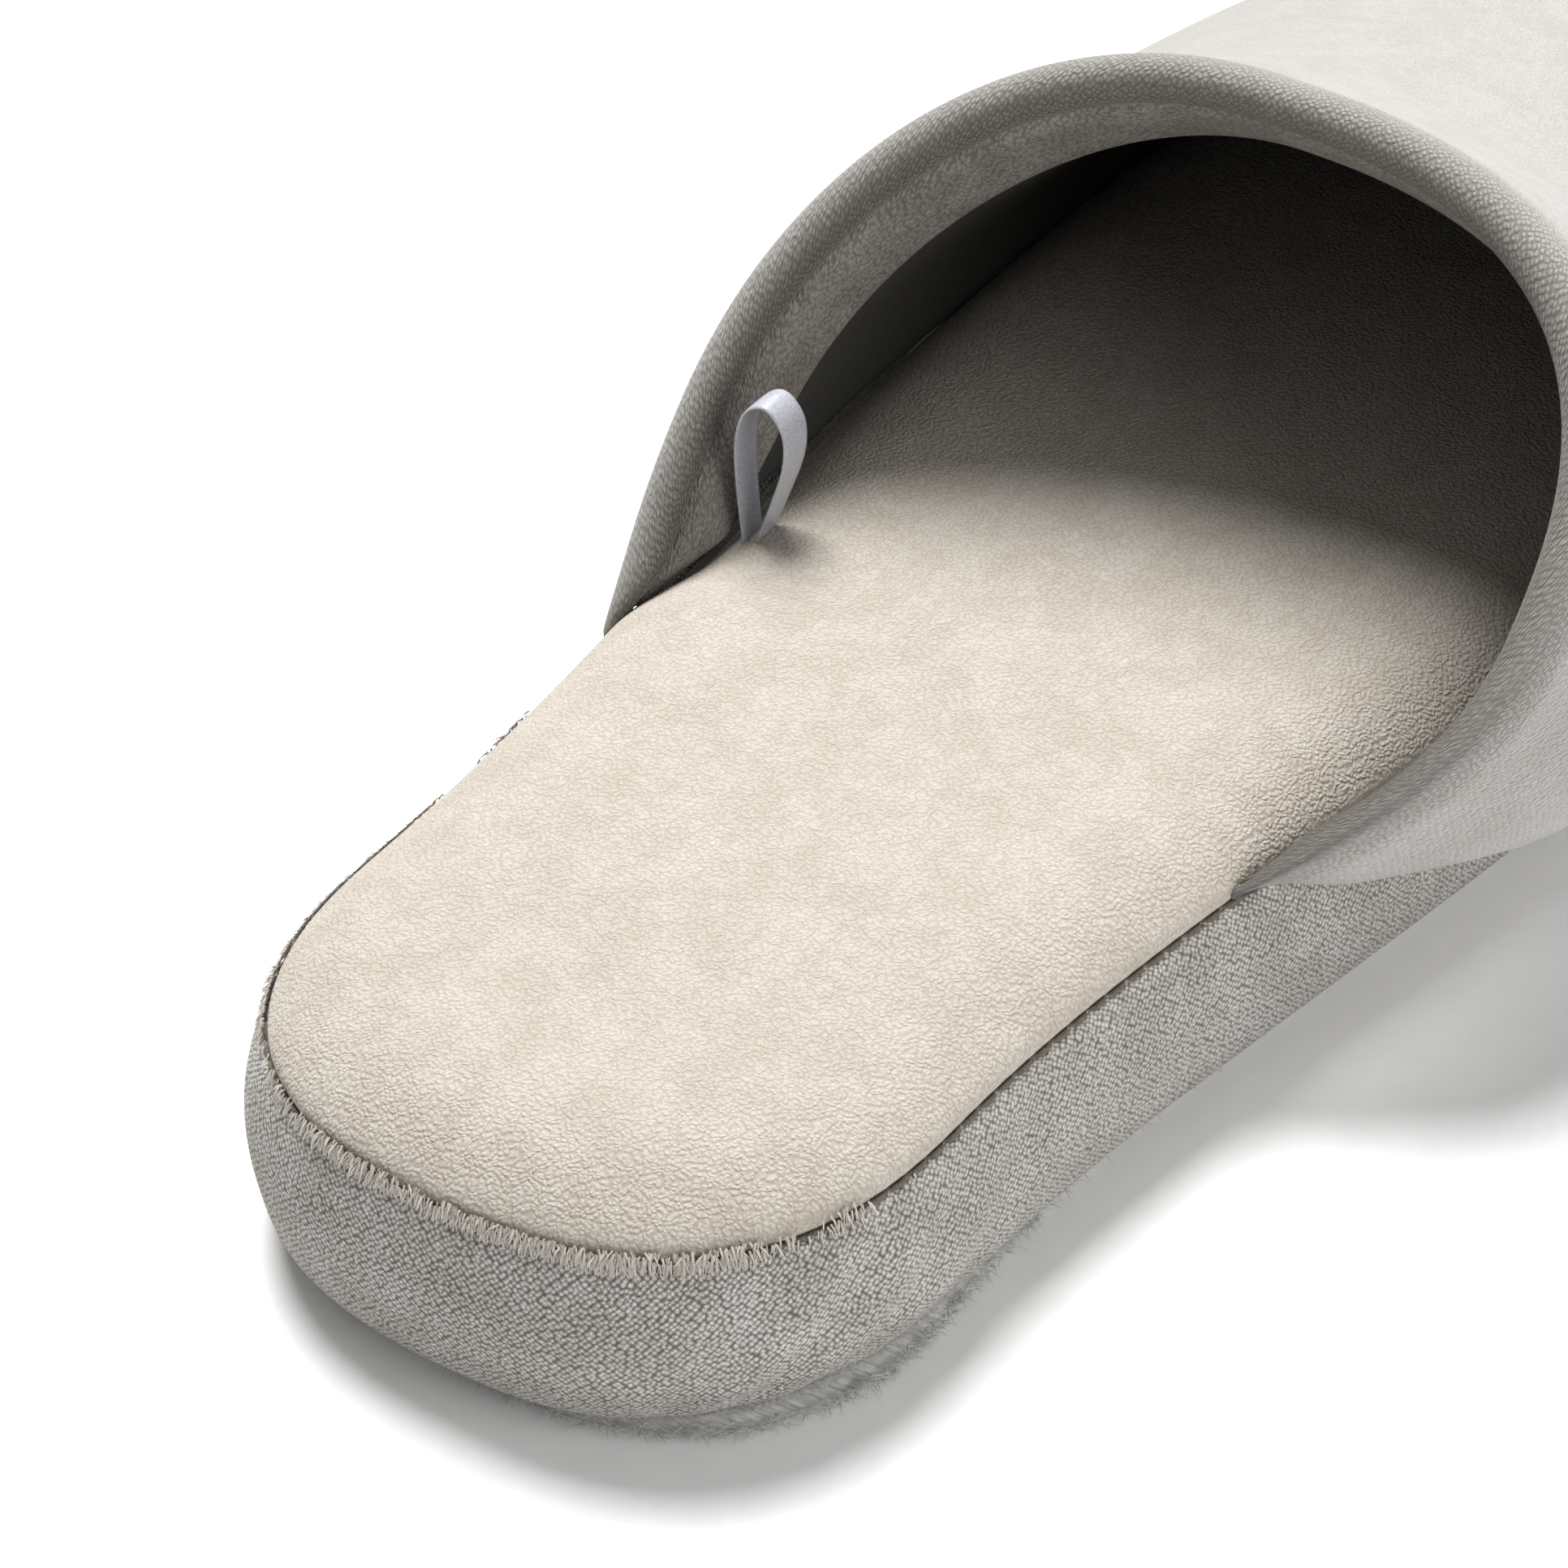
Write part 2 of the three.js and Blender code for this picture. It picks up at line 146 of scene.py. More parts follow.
def centre_shift(station):
    """The toe swings to the medial side."""
    t = clamp((station - SWING_START) / (LENGTH - SWING_START))
    return MEDIAL * TOE_SWING * t * t


def edge_x(station, side, inset=0.0):
    return side * half_width(station, side, inset) + centre_shift(station)


def station_at(place, inset=0.0):
    """0 to 1 rounds the heel, 1 to 2 is the middle and 2 to 3 rounds the toe."""
    if place <= 1:
        turn = max(math.cos(place * math.pi / 2), 0.0) ** (2 / HEEL_SQUARENESS)
        return inset + (HEEL_ROUND - inset) * (1 - turn)
    if place <= 2:
        return lerp(HEEL_ROUND, MIDDLE_END, place - 1)
    turn = max(math.cos(clamp(3 - place) * math.pi / 2), 0.0) ** (2 / TOE_SQUARENESS)
    return LENGTH - inset - (TOE_ROUND - inset) * (1 - turn)


def outline_point(knot, inset):
    """The plan point at a knot, which is a side and a place along it."""
    side, place = knot
    station = station_at(place, inset)
    return edge_x(station, side, inset), station


# The way round the outline, from the toe tip along the lateral side to the
# heel and back along the medial side, spaced by true length.
lateral_knots = [(LATERAL, 3 - i / 150) for i in range(451)]
lateral_length = [0.0]
for here, there in zip(lateral_knots, lateral_knots[1:]):
    lateral_length.append(lateral_length[-1] + math.dist(outline_point(here, 0), outline_point(there, 0)))
PERIMETER = 2 * lateral_length[-1]


def around(t):
    """The side and place at a share of the perimeter; both sides match."""
    goal = min(t, 1 - t) * PERIMETER
    i = min(max(bisect.bisect_right(lateral_length, goal) - 1, 0), len(lateral_knots) - 2)
    part = (goal - lateral_length[i]) / (lateral_length[i + 1] - lateral_length[i])
    return LATERAL if t < 0.5 else MEDIAL, lerp(lateral_knots[i][1], lateral_knots[i + 1][1], clamp(part))


def closing(t):
    """Falls to nothing where a band's two ends meet at the toe tip."""
    return ease(min(t, 1 - t), 0, 0.02)


def share_round(station, side):
    """The share of the perimeter at a station on one side."""
    best = min(range(len(lateral_knots)), key=lambda i: abs(station_at(lateral_knots[i][1]) - station))
    share = lateral_length[best] / PERIMETER
    return share if side == LATERAL else 1 - share


def cover_inset(station, side):
    """The cover runs to the seam and draws in a little to pass inside the vamp."""
    under = lerp(UNDER_VAMP[side], UNDER_VAMP[MEDIAL], ease(station, 180, 250))
    return lerp(COVER_INSET, under, ease(station, RIM_STATION + 3, RIM_STATION + 17))


# ---- Vamp surface ----


def bezier(t):
    """A point on the vamp's ridge, as station and height."""
    w = ((1 - t) ** 3, 3 * t * (1 - t) ** 2, 3 * t * t * (1 - t), t**3)
    return sum(k * p[0] for k, p in zip(w, RIDGE)), sum(k * p[1] for k, p in zip(w, RIDGE))


ridge_points = [bezier(i / 400) for i in range(401)]
ridge_length = [0.0]
for here, there in zip(ridge_points, ridge_points[1:]):
    ridge_length.append(ridge_length[-1] + math.dist(here, there))
VAMP_RUN = (ridge_length[-1] + TOE_ARCH_STATION - RIM_STATION) / 2


def ridge_at(run, depth):
    """Station and height at a run along the ridge, at a depth below it."""
    goal = clamp(run) * ridge_length[-1]
    i = min(max(bisect.bisect_right(ridge_length, goal) - 1, 0), 399)
    (y0, z0), (y1, z1) = ridge_points[i], ridge_points[i + 1]
    step = ridge_length[i + 1] - ridge_length[i]
    part = (goal - ridge_length[i]) / step
    ty, tz = (y1 - y0) / step, (z1 - z0) / step
    return lerp(y0, y1, part) + tz * depth, lerp(z0, z1, part) - ty * depth


def arch_half(base, belly, share, side, body):
    """Half width of the arch at a share of its height, from seam (0) to crest (1)."""
    widest = BELLY_HEIGHT[side]
    if share < widest:
        return lerp(belly, base, (1 - share / widest) ** lerp(*BELLY_TURN, body))
    t = (share - widest) / (1 - widest)
    n = lerp(RIM_SQUARENESS[side], BODY_SQUARENESS, body)
    return belly * max(1 - t**n, 0.0) ** (1 / n)


def vamp_point(run, turn, depth):
    """A point at a depth below the vamp's outer face, in the station frame.

    Run 0 is the rim and 1 the toe seam; turn goes over the foot from the medial
    seam (0) to the lateral one (pi). Below 0 the run carries on past the rim.
    """
    share = math.sin(turn)
    side = MEDIAL if turn < math.pi / 2 else LATERAL
    held = max(run, 0.0)
    body = ease(held, 0, BODY_SHARE)
    foot = lerp(RIM_STATION, TOE_ARCH_STATION, run)
    top_y, top_z = ridge_at(held, depth)
    crest = lerp(CREST_SHIFT, centre_shift(LENGTH), held)
    base = side * (edge_x(foot, side, depth) - crest)
    bulge = lerp(RIM_BELLY[side], BODY_BELLY[side], body) * (1 - held**BELLY_HOLD)
    arch = crest + side * arch_half(base, base + bulge, share, side, body)
    toe = edge_x(lerp(foot, LENGTH - depth, share), side, depth)
    lean = (run - held) * VAMP_RUN
    return (
        lerp(arch, toe, held**TOE_BLEND),
        lerp(foot, top_y, share) + lean * share * RIM_LEAN,
        lerp(VAMP_BASE, top_z, share) - lean * share * RIM_LEAN,
    )


# ---- Station frame to model frame, found from the bartack at the loop's root ----
LOOP_INSET = COVER_INSET_UNDER_VAMP - RIBBON_INSET
LOOP_ROOT = (edge_x(LOOP_STATION, MEDIAL, LOOP_INSET), LOOP_STATION, VAMP_BASE + RIBBON_RISE)
tack_low, tack_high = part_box("loop_tack")
SHIFT = (
    (tack_low[0] + tack_high[0]) / 2 / MM - LOOP_ROOT[0],
    (tack_low[1] + tack_high[1]) / 2 / MM - LOOP_ROOT[1],
    0.0,
)


def to_frame(points):
    """Millimetres in the station frame to metres in the model's."""
    return (np.asarray(points, dtype=float) + np.array(SHIFT)) * MM


# ---- Modelling ----


def clear():
    """Deselects all, so the next operator acts on one piece only."""
    bpy.ops.object.select_all(action="DESELECT")


def apply_modifiers(piece):
    clear()
    piece.select_set(True)
    bpy.context.view_layer.objects.active = piece
    for modifier in list(piece.modifiers):
        bpy.ops.object.modifier_apply(modifier=modifier.name)


def lay_skin(name, across, along, place, weave, thickness, levels=1):
    """A cloth skin: a grid bent corner by corner to place(u, v), in millimetres.

    The weave is either a function of (u, v) or "measured", true lengths both
    ways. The skin is closed where its edges meet and gets its thickness.
    """
    clear()
    bpy.ops.mesh.primitive_grid_add(x_subdivisions=across, y_subdivisions=along, size=1)
    skin = bpy.context.object
    skin.name = skin.data.name = name
    mesh = skin.data
    flat = np.empty(len(mesh.vertices) * 3)
    mesh.vertices.foreach_get("co", flat)
    flat = flat.reshape(-1, 3)
    iu = np.rint((flat[:, 0] + 0.5) * across).astype(int)
    iv = np.rint((flat[:, 1] + 0.5) * along).astype(int)
    shares = [[(u / across, v / along) for u in range(across + 1)] for v in range(along + 1)]
    grid = np.array([[place(*share) for share in row] for row in shares])
    if weave == "measured":
        gap = np.linalg.norm(np.diff(grid, axis=1), axis=2)
        over = np.concatenate([np.zeros((along + 1, 1)), np.cumsum(gap, axis=1)], axis=1)
        over -= over[:, [across // 2]]
        middle = np.linalg.norm(np.diff(grid[:, across // 2], axis=0), axis=1)
        up = np.concatenate([[0], np.cumsum(middle)])[:, None] + np.zeros(across + 1)
        threads = np.stack([over, up], axis=2)
    else:
        threads = np.array([[weave(*share) for share in row] for row in shares])
    mesh.vertices.foreach_set("co", to_frame(grid[iv, iu]).ravel())
    corner = np.empty(len(mesh.loops), dtype=int)
    mesh.loops.foreach_get("vertex_index", corner)
    mesh.uv_layers.active.name = "weave_mm"
    mesh.uv_layers.active.data.foreach_set("uv", threads[iv[corner], iu[corner]].ravel())
    mesh.update()
    bpy.ops.object.mode_set(mode="EDIT")
    bpy.ops.mesh.select_all(action="SELECT")
    bpy.ops.mesh.remove_doubles(threshold=0.02 * MM)
    bpy.ops.object.mode_set(mode="OBJECT")
    if thickness:
        wall = skin.modifiers.new("wall", "SOLIDIFY")
        wall.thickness = thickness * MM
        wall.offset = -1
    if levels:
        soft = skin.modifiers.new("soft", "SUBSURF")
        soft.levels = soft.render_levels = levels
    apply_modifiers(skin)
    bpy.ops.object.shade_smooth()
    return skin


def along_profile(profile, v):
    """The point a share v of the way along a list of section points."""
    lengths = [0.0]
    for a, b in zip(profile, profile[1:]):
        lengths.append(lengths[-1] + math.dist(a, b))
    goal = v * lengths[-1]
    i = min(max(bisect.bisect_right(lengths, goal) - 1, 0), len(profile) - 2)
    part = (goal - lengths[i]) / (lengths[i + 1] - lengths[i])
    return [lerp(a, b, part) for a, b in zip(profile[i], profile[i + 1])], goal


def rounded(p, q, r, s, t):
    """Between q and r on the smooth curve through p, q, r and s."""
    bend, twist = 2 * p - 5 * q + 4 * r - s, 3 * q - p - 3 * r + s
    return 0.5 * (2 * q + (r - p) * t + bend * t * t + twist * t**3)


def soften(profile, steps):
    """A round curve through the section points."""
    knots = [profile[0], *profile, profile[-1]]
    curve = []
    for a, b, c, d in zip(knots, knots[1:], knots[2:], knots[3:]):
        for k in range(steps):
            t = k / steps
            curve.append(tuple(rounded(*four, t) for four in zip(a, b, c, d)))
    return [*curve, tuple(profile[-1])]


def ripple(x, y, size, seed):
    """An even, repeatable unevenness with humps about size across."""
    return noise.noise(Vector((x / size, y / size, seed)))


def ring_with_spine(knot, inset, reach):
    """A point of the ring at an inset; past reach it heads for the middle line."""
    if inset <= reach:
        return outline_point(knot, inset)
    x, station = outline_point(knot, reach)
    spine = clamp(station, HEEL_ROUND + 2, LENGTH - 60)
    part = clamp((inset - reach) / reach)
    return lerp(x, centre_shift(spine), part), lerp(station, spine, part)


# Footbed: from the middle of the level top out over a soft pillow edge. Each
# section point is (distance in from the outline, height above the seam).
PILLOW = soften([
    (PILLOW_REACH, FOOTBED_TOP), (13, 6.45), (9.5, 6.0), (6.5, 5.2), (4, 4.0), (2, 2.6), (0.6, 1.2),
    (0.1, 0.1), (0.7, -0.9), (2.4, -1.4),
], 5)
FOOTBED_REACH = 20.0
FLAT_SHARE = 0.55


def footbed_place(u, v):
    knot = around(u)
    if v < FLAT_SHARE:
        inset, height = lerp(2 * FOOTBED_REACH, PILLOW_REACH, v / FLAT_SHARE), FOOTBED_TOP
    else:
        (inset, height), _ = along_profile(PILLOW, (v - FLAT_SHARE) / (1 - FLAT_SHARE))
    _, station = outline_point(knot, 0)
    drawn_in = cover_inset(station, knot[0]) * ease(inset, 2 * FOOTBED_REACH, PILLOW_REACH)
    x, station = ring_with_spine(knot, inset + drawn_in, FOOTBED_REACH)
    level = ease(height, 1, 6)
    height += level * (0.35 * ripple(x, station, 23, 3.1) + 0.12 * ripple(x, station, 7, 9.4))
    return x, station, SEAM + height


def footbed_weave(u, v):
    knot = around(u)
    if v < FLAT_SHARE:
        return ring_with_spine(knot, lerp(2 * FOOTBED_REACH, PILLOW_REACH, v / FLAT_SHARE), FOOTBED_REACH)
    _, gone = along_profile(PILLOW, (v - FLAT_SHARE) / (1 - FLAT_SHARE))
    return outline_point(knot, PILLOW_REACH - gone)


footbed = lay_skin("footbed_velour_cover", 280, 42, footbed_place, footbed_weave, 1.0)

# Sidewall: tucked into the top seam, bowed out, and turned under at the felt.
WALL = soften([
    (2.6, -0.7), (0.9, -0.6), (0.0, -1.3), (-0.9, -3.6), (-1.9, -8), (-2.1, -12), (-1.7, -16),
    (-1.0, -19.4), (0.2, -21.6), (2.2, -22.6), (4.2, -22.7),
], 4)
CORNER = share_round(22, LATERAL)
# Creases at that corner: place along the wall, slant, depth and width.
CREASES = ((4, 0.9, 1.0, 2.6), (-8, 1.1, 0.8, 2.8), (-21, 0.8, 0.7, 3.6), (14, 0.6, 0.6, 3.2))


def lift(u):
    """At the worn lateral heel corner the wall rides up and shows the felt."""
    return CORNER_LIFT * math.exp(-(((u - CORNER) * PERIMETER / 26) ** 2))


def wall_place(u, v):
    (inset, drop), gone = along_profile(WALL, v)
    knot = around(u)
    way = (u - CORNER) * PERIMETER
    middle = ease(v, 0.05, 0.4) * ease(v, 1.0, 0.7)
    crease = 0.0
    for at, slant, deep, wide in CREASES:
        crease += deep * math.exp(-(((way - at - slant * (gone - 12)) / wide) ** 2))
    wave = 0.3 * ripple(u * PERIMETER, drop, 26, 1.7) + 0.12 * ripple(u * PERIMETER, drop, 8, 5.2)
    push = crease * ease(abs(way), 60, 30) - wave * closing(u)
    x, station = outline_point(knot, inset + middle * push)
    return x, station, SEAM + drop + lift(u) * ease(-drop, 15, 21)


def wall_weave(u, v):
    _, gone = along_profile(WALL, v)
    return u * PERIMETER, -gone


sidewall = lay_skin("sidewall_velour_band", 480, 24, wall_place, wall_weave, 0.9)

# Felt sole: a flat pad with soft edges, a hair above the floor in the middle.
PAD = soften([
    (FELT_REACH, FELT_TOP), (4, FELT_TOP), (1.2, 2.5), (0.5, 2.1), (0.4, 1.2), (0.8, 0.3), (2.0, 0.06),
    (5, 0.03), (FELT_REACH, FELT_HOLLOW),
], 3)


def felt_place(u, v):
    knot = around(u)
    if v < 0.2:
        inset, height = lerp(2 * FOOTBED_REACH, FELT_REACH, v / 0.2), FELT_TOP
    elif v > 0.8:
        inset, height = lerp(FELT_REACH, 2 * FOOTBED_REACH, (v - 0.8) / 0.2), FELT_HOLLOW
    else:
        (inset, height), _ = along_profile(PAD, (v - 0.2) / 0.6)
    if inset < 3:
        inset += 0.35 * ripple(u * PERIMETER, height, 3.5, 8.8) * closing(u) + FELT_TUCK - lift(u)
    x, station = ring_with_spine(knot, inset, FOOTBED_REACH)
    return x, station, height


def felt_weave(u, v):
    x, station, height = felt_place(u, v)
    return x + height, station + height


sole = lay_skin("sole_felt_pad", 260, 40, felt_place, felt_weave, 0, 0)

# Vamp: up out of the stitch groove inside, over the rolled rim, on to the toe.
# Each section point is (distance from the rim, depth below the outer face).
ROLL_DEPTH = 5.3
ROLL = soften([
    (5.3, 3.6), (4.7, 4.7), (3.2, ROLL_DEPTH), (1.5, 5.0), (0.3, 3.9), (-0.1, 2.6), (0.2, 1.3), (1.2, 0.4),
    (2.8, 0.05), (LIP, 0.0),
], 4)
ROLL_SHARE = 0.2
DROOP = {MEDIAL: 1.0, LATERAL: 4.6}  # how far the padded vamp hangs over the sidewall
DROOP_HEIGHT = 0.05  # share of the arch's height where it hangs most


def droop(run, turn):
    """The padding sags most just above the seam, and not at the rim or the toe."""
    side = LATERAL if turn > math.pi / 2 else MEDIAL
    share = math.sin(turn) / DROOP_HEIGHT
    return DROOP[side] * ease(run, 0.0, 0.09) * (1 - ease(run, 0.7, 1.0)) * share * math.exp(1 - share)


def hem_depth(depth, turn):
    """The rolled hem is thinnest where it is sewn into the seam."""
    return depth * lerp(0.35, 1.0, ease(math.sin(turn), 0, 0.12))


def vamp_place(u, v):
    turn = u * math.pi
    if v < ROLL_SHARE:
        (distance, depth), _ = along_profile(ROLL, v / ROLL_SHARE)
    else:
        distance, depth = lerp(LIP, VAMP_RUN, (v - ROLL_SHARE) / (1 - ROLL_SHARE)), 0.0
    run = distance / VAMP_RUN
    x, station, height = vamp_point(run, turn, hem_depth(depth, turn))
    outer = 1 - clamp(depth / ROLL_DEPTH)
    swell = outer * math.sin(turn) * (0.5 * ripple(x, station, 38, 2.2) + 0.15 * ripple(x, station, 14, 6.1))
    return x, station, height - droop(run, turn) * outer + swell * ease(run, 0.0, 0.1)


vamp = lay_skin("vamp_velour_upper", 180, 68, vamp_place, "measured", 1.4)

# Facing: the hem's cloth laid flat inside the mouth, from the groove inwards.
FACE = soften([
    (5.2, 3.6), (5.7, 4.8), (7.0, 5.6), (10, 6.5), (13, 7.3), (15.2, 7.8), (16.3, 7.7), (16.7, 6.9),
], 3)


def facing_place(u, v):
    (distance, depth), _ = along_profile(FACE, v)
    turn = lerp(0.006, 0.994, u) * math.pi
    return vamp_point(distance / VAMP_RUN, turn, hem_depth(depth, turn))


facing = lay_skin("rim_facing", 180, 14, facing_place, "measured", 0.5)


def lining_place(u, v):
    turn = lerp(0.005, 0.995, u) * math.pi
    return vamp_point(lerp(LINING_START / VAMP_RUN, 0.995, v), turn, hem_depth(LINING_DEPTH, turn))


# Lining: from under the facing to the toe, on the inside of the padding.
lining = lay_skin("vamp_inner_lining", 120, 60, lining_place, "measured", 0.6)


def padding_place(u, v):
    turn = lerp(0.05, 0.95, u) * math.pi
    return vamp_point(lerp(PADDING_START / VAMP_RUN, 0.98, v), turn, PADDING_DEPTH)


# Padding: the foam between the vamp's velour and its lining.
padding = lay_skin("vamp_foam_padding", 80, 40, padding_place, "measured", 2.3)


# Stitches: a thread that dips into the cloth between one stitch and the next.
def stitched(name, along, stitch, radius, path):
    """Sews a thread along path(share, sideways, up); along and stitch in millimetres."""
    count = round(along / stitch)

    def place(u, v):
        beat = abs(math.sin(math.pi * v * count))
        spin = 2 * math.pi * u
        plump = radius * (0.35 + 0.65 * beat**0.4)
        return path(v, plump * math.cos(spin), plump * math.sin(spin) + radius * 1.3 * (beat**0.5 - 1))

    return lay_skin(name, 8, count * 6, place, lambda u, v: (u * 6 * radius, v * along), 0, 0)


def hem_stitch(v, sideways, up):
    """Along the groove between the rolled hem and its facing."""
    turn = lerp(0.03, 0.97, v) * math.pi
    return vamp_point((5.4 + sideways) / VAMP_RUN, turn, hem_depth(4.4, turn) + up)


def seam_stitch(v, sideways, up):
    """Round the whole sole, deep between footbed and sidewall."""
    x, station = outline_point(around(v), THREAD_DEPTH - up)
    return x, station, SEAM - THREAD_DEPTH + sideways


hem_thread = stitched("rim_stitching", HEM_LENGTH, 3.4, 0.3, hem_stitch)
seam_thread = stitched("seam_stitching", PERIMETER, 3.0, 0.35, seam_stitch)

# Hanging loop: one satin ribbon folded into a drop, both ends in the seam.
LOOP_PATH = soften([
    (0.5, 0), (0.7, 2.5), (2.0, 9), (3.1, 15), (2.8, 19.4), (1.0, 21.8), (-0.9, 21.9),
    (-2.8, 19.6), (-3.4, 15), (-2.6, 9), (-1.0, 2.5), (-0.5, 0),
], 5)


def loop_place(u, v):
    (across, rise), _ = along_profile(LOOP_PATH, v)
    edge = abs(2 * u - 1)
    sway = 0.5 * math.sin(math.pi * rise / LOOP_HEIGHT)
    lean, cup = LOOP_TILT * 0.7, 0.12 * edge**4
    return (
        LOOP_ROOT[0] + across * math.cos(lean) + (rise - cup) * math.sin(lean),
        LOOP_ROOT[1] + (u - 0.5) * LOOP_WIDTH * lerp(0.86, 1.0, ease(rise, 2, 16)) + sway,
        LOOP_ROOT[2] + 0.1 + (rise - cup) * math.cos(lean) - across * math.sin(lean),
    )


loop = lay_skin("ribbon_loop", 12, 110, loop_place, lambda u, v: (u * LOOP_WIDTH, v * 50), 0.22, 0)


# ---- Pile fibres that stand proud ----


def plant_fibres(name, spots, sides=3):
    """Plants one tapered, drooping fibre or tuft at each spot, in millimetres.

    A spot is its root, the way it points, its length, width and droop. The
    first weave coordinate runs from root to tip, the second varies by fibre.
    """
    rings = ((0.0, 1.0), (0.5, 0.8), (1.0, 0.12))
    points, faces, threads = [], [], []
    for number, (root, way, long, wide, drop) in enumerate(spots):
        way = Vector(way).normalized()
        across = way.cross(Vector((0.3, 0.2, 1))).normalized()
        other = way.cross(across)
        base = len(points)
        for part, girth in rings:
            middle = Vector(root) + way * (long * part) - Vector((0, 0, drop * part * part))
            for k in range(sides):
                turn = 2 * math.pi * k / sides
                aside = across * math.cos(turn) + other * math.sin(turn)
                points.append(middle + aside * (wide * girth / 2))
        for ring in range(len(rings) - 1):
            for k in range(sides):
                near, far = base + ring * sides, base + (ring + 1) * sides
                nxt = (k + 1) % sides
                faces.append((near + k, near + nxt, far + nxt, far + k))
                low, high = rings[ring][0], rings[ring + 1][0]
                mark = number * 0.7549 % 1
                threads += [(low, mark), (low, mark), (high, mark), (high, mark)]
        faces.append(tuple(base + (len(rings) - 1) * sides + k for k in range(sides)))
        threads += [(1.0, number * 0.7549 % 1)] * sides
    mesh = bpy.data.meshes.new(name)
    mesh.from_pydata([tuple(p) for p in to_frame([tuple(p) for p in points])], [], faces)
    mesh.uv_layers.new(name="weave_mm").data.foreach_set("uv", np.array(threads, dtype=float).ravel())
    piece = bpy.data.objects.new(name, mesh)
    bpy.context.collection.objects.link(piece)
    mesh.polygons.foreach_set("use_smooth", [True] * len(mesh.polygons))
    return piece


dice = random.Random(7)


def outward(u, inset):
    """The outline point at an inset and the plan direction away from the foot."""
    here = outline_point(around(u), inset)
    further = outline_point(around(u), inset - 1)
    way = (further[0] - here[0], further[1] - here[1])
    size = math.hypot(*way)
    return here, (way[0] / size, way[1] / size)


def fringe_spots(count, low, high, profile, part, long, wide, down):
    """Spots along the seam between two shares of the way round."""
    spots = []
    for _ in range(count):
        u = dice.uniform(low, high)
        if ripple(u * PERIMETER, 0, 9, 4.4) < dice.uniform(-0.55, 0.25):
            continue
        (inset, height), _ = along_profile(profile, dice.uniform(*part))
        (x, station), (wx, ws) = outward(u, inset + COVER_INSET * 0.5)
        lean = dice.gauss(0, 0.6)
        way = (wx - ws * lean, ws + wx * lean, dice.uniform(*down))
        root = (x, station, SEAM + height - 0.1)
        spots.append((root, way, dice.uniform(*long), dice.uniform(*wide), dice.uniform(0.1, 0.5)))
    return spots


HEEL_FROM, HEEL_TO = share_round(30, LATERAL), share_round(66, MEDIAL)
footbed_fringe = plant_fibres("footbed_pile_fringe", fringe_spots(
    5900, HEEL_FROM, HEEL_TO, PILLOW, (0.82, 0.95), (0.5, 1.5), (0.16, 0.34), (-2.2, -0.4),
))
wall_fringe = plant_fibres("sidewall_pile_fringe", fringe_spots(
    1350, HEEL_FROM, HEEL_TO, WALL, (0.03, 0.12), (0.2, 0.7), (0.16, 0.3), (-1.4, 0.3),
))


def felt_spots():
    """Hairs teased out of the felt's edge, thickest at the worn corner."""
    spots = []
    for _ in range(900):
        u = CORNER + dice.gauss(0, 22) / PERIMETER
        (x, station), (wx, ws) = outward(u, CORNER_LIFT - lift(u))
        lean = dice.gauss(0, 1.3)
        way = (wx - ws * lean, ws + wx * lean, dice.uniform(-0.3, 0.5))
        root = (x, station, dice.uniform(0.4, 2.4))
        spots.append((root, way, dice.uniform(0.7, 2.4), 0.11, dice.uniform(-0.2, 0.25)))
    return spots


felt_fibres = plant_fibres("outsole_felt_fibres", felt_spots())

# ---- Materials ----


def linear(code):
    """sRGB hex to the linear colour the shader works in."""
    parts = [int(code[i : i + 2], 16) / 255 for i in (1, 3, 5)]
    return [*(c / 12.92 if c <= 0.04045 else ((c + 0.055) / 1.055) ** 2.4 for c in parts), 1.0]


def add(tree, kind, links=None, values=None, **settings):
    """Adds a node: settings on the node, values on its sockets, links into them."""
    node = tree.nodes.new(kind)
    for name, value in settings.items():
        setattr(node, name, value)
    for name, value in (values or {}).items():
        node.inputs[name].default_value = value
    for name, source in (links or {}).items():
        tree.links.new(source, node.inputs[name])
    return node


def new_finish(name):
    material = bpy.data.materials.new(name)
    material.use_nodes = True
    tree = material.node_tree
    tree.nodes.clear()
    shader = add(tree, "ShaderNodeBsdfPrincipled")
    output = add(tree, "ShaderNodeOutputMaterial")
    tree.links.new(shader.outputs[0], output.inputs[0])
    return material, tree, shader


